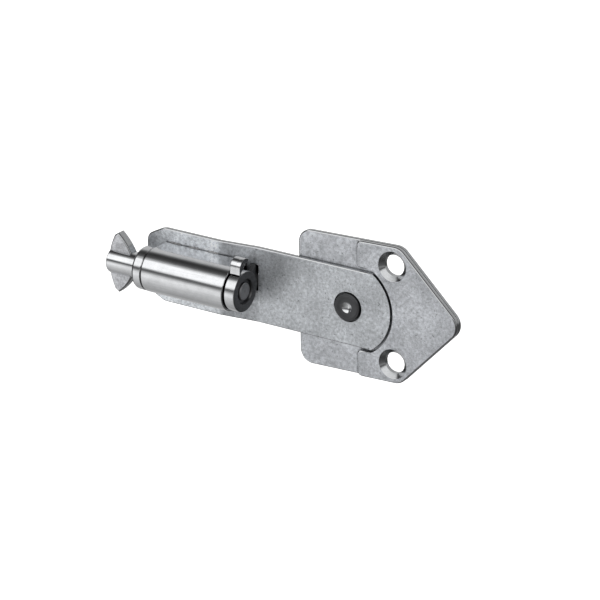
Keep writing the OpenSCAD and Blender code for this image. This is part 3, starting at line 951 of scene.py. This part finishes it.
def make_floor():
    mesh = bpy.data.meshes.new("floor")
    half = FLOOR_HALF
    corners = [(x, y, FLOOR_Z) for x, y in ((-half, -half), (half, -half), (half, half), (-half, half))]
    mesh.from_pydata(corners, [], [(0, 1, 2, 3)])
    floor = bpy.data.objects.new("floor", mesh)
    bpy.context.scene.collection.objects.link(floor)
    material, nodes, links, shader = new_material("pale floor")
    shader.inputs["Base Color"].default_value = (0.9, 0.9, 0.9, 1)
    shader.inputs["Roughness"].default_value = 1.0
    shader.inputs["Emission Color"].default_value = (1, 1, 1, 1)
    shader.inputs["Emission Strength"].default_value = 0.9
    mesh.materials.append(material)
    floor.visible_glossy = False


def make_backdrop():
    bm = bmesh.new()
    bmesh.ops.create_icosphere(bm, subdivisions=4, radius=BACKDROP_R)
    mesh = bpy.data.meshes.new("backdrop")
    bm.to_mesh(mesh)
    bm.free()
    backdrop = bpy.data.objects.new("backdrop", mesh)
    bpy.context.scene.collection.objects.link(backdrop)
    material, nodes, links, shader = new_material("backdrop white")
    shader.inputs["Base Color"].default_value = (0, 0, 0, 1)
    shader.inputs["Emission Color"].default_value = (1, 1, 1, 1)
    shader.inputs["Emission Strength"].default_value = 1.0
    mesh.materials.append(material)
    backdrop.visible_glossy = False
    backdrop.visible_diffuse = False
    backdrop.visible_shadow = False
    backdrop.visible_transmission = False


# Brightness of the studio by direction, in degrees up from straight ahead of the plates, over the top and
# down behind. It is chosen so that the barrel's light and dark bands fall where they should
STUDIO = [
    (-180, 0.60), (-156, 0.53), (-120, 0.44), (-100, 0.36), (-76, 0.47), (-52, 0.61), (-36, 0.76),
    (-24, 0.93), (-12, 0.98), (-4, 0.74), (3, 0.38), (11, 0.12), (17, 0.2), (24, 1.15), (30, 1.35),
    (59, 1.35), (67, 0.7), (76, 0.2), (84, 0.09), (98, 0.04), (108, 0.07), (116, 0.2), (124, 0.47),
    (132, 0.6), (160, 0.62), (180, 0.60),
]

# Share of that brightness by how far the direction points along the strap, from the free end to the point:
# one row for directions that point down and one for directions that point up
SIDES_DOWN = [
    (-1, 0.08), (-0.82, 0.2), (-0.7, 0.95), (-0.62, 1.16), (-0.55, 1.08), (-0.46, 0.9),
    (-0.28, 0.52), (0, 0.42), (0.3, 0.26), (0.6, 0.13), (1, 0.2),
]
SIDES_UP = [
    (-1, 0.08), (-0.82, 0.2), (-0.7, 0.95), (-0.62, 1.1), (-0.5, 1.0), (-0.1, 0.9), (0.4, 0.9), (1, 0.9),
]
STUDIO_PEAK = 1.5
SIDES_PEAK = 1.2


def make_studio():
    world = bpy.data.worlds.new("studio")
    bpy.context.scene.world = world
    world.use_nodes = True
    nodes = world.node_tree.nodes
    links = world.node_tree.links
    coords = nodes.new("ShaderNodeTexCoord")
    split = nodes.new("ShaderNodeSeparateXYZ")
    links.new(coords.outputs["Generated"], split.inputs["Vector"])
    front = nodes.new("ShaderNodeMath")
    front.operation = "MULTIPLY"
    front.inputs[1].default_value = -1
    links.new(split.outputs["Y"], front.inputs[0])
    angle = nodes.new("ShaderNodeMath")
    angle.operation = "ARCTAN2"
    links.new(split.outputs["Z"], angle.inputs[0])
    links.new(front.outputs[0], angle.inputs[1])
    share = nodes.new("ShaderNodeMapRange")
    share.inputs["From Min"].default_value = -math.pi
    share.inputs["From Max"].default_value = math.pi
    links.new(angle.outputs[0], share.inputs["Value"])
    stops = [((degrees + 180) / 360, bright / STUDIO_PEAK) for degrees, bright in STUDIO]
    level = add_ramp(nodes, links, share.outputs["Result"], stops)
    reach = nodes.new("ShaderNodeMapRange")
    reach.inputs["From Min"].default_value = -1.0
    links.new(split.outputs["X"], reach.inputs["Value"])
    down, up = (
        add_ramp(nodes, links, reach.outputs["Result"], [((x + 1) / 2, e / SIDES_PEAK) for x, e in row])
        for row in (SIDES_DOWN, SIDES_UP)
    )
    upward = nodes.new("ShaderNodeMapRange")
    upward.interpolation_type = "SMOOTHSTEP"
    upward.inputs["From Min"].default_value = -0.2
    upward.inputs["From Max"].default_value = 0.15
    links.new(split.outputs["Z"], upward.inputs["Value"])
    side = add_mix(nodes, links, "MIX", upward.outputs["Result"], down, up)
    colour = add_mix(nodes, links, "MULTIPLY", 1.0, level, side)
    background = nodes["Background"]
    links.new(colour, background.inputs["Color"])
    background.inputs["Strength"].default_value = STUDIO_PEAK * SIDES_PEAK


# The camera's place about the latch in degrees, its lens in millimetres, and where the middle of the
# pivot lies from it: to the right, up and back
AZIMUTH = 32.6
ELEVATION = 20.36
ROLL = -1.02
LENS = 152.6
PIVOT_FROM_CAMERA = Vector((15.14, -1.93, -804.9)) * MM


def make_camera():
    azimuth = math.radians(AZIMUTH)
    elevation = math.radians(ELEVATION)
    roll = math.radians(ROLL)
    back = Vector((
        math.sin(azimuth) * math.cos(elevation),
        -math.cos(azimuth) * math.cos(elevation),
        math.sin(elevation),
    ))
    data = bpy.data.cameras.new("camera")
    data.lens = LENS
    data.sensor_width = 36
    data.clip_start = 0.01
    data.clip_end = 50
    camera = bpy.data.objects.new("camera", data)
    bpy.context.scene.collection.objects.link(camera)
    camera.rotation_mode = "QUATERNION"
    turn = (-back).to_track_quat("-Z", "Y").to_matrix() @ Matrix.Rotation(roll, 3, "Z")
    camera.rotation_quaternion = turn.to_quaternion()
    pivot_front = Vector((PIVOT.x, -ARM_FRONT * MM + 0.12 * MM, PIVOT.z + 0.255 * MM))
    camera.location = pivot_front - turn @ PIVOT_FROM_CAMERA
    bpy.context.scene.camera = camera


def set_view():
    view = bpy.context.scene.view_settings
    view.view_transform = "Standard"
    view.look = "None"


make_base_plate()
make_cover_plate()
make_strap()
make_barrel()
make_welds()
make_collar()
make_spindle()
make_wing()
make_cam_disc()
make_cam_hook()
make_cam_nose()
make_cam_rivet()
make_pivot_rivet()
paint_frame()
make_floor()
make_backdrop()
make_studio()
make_camera()
set_view()
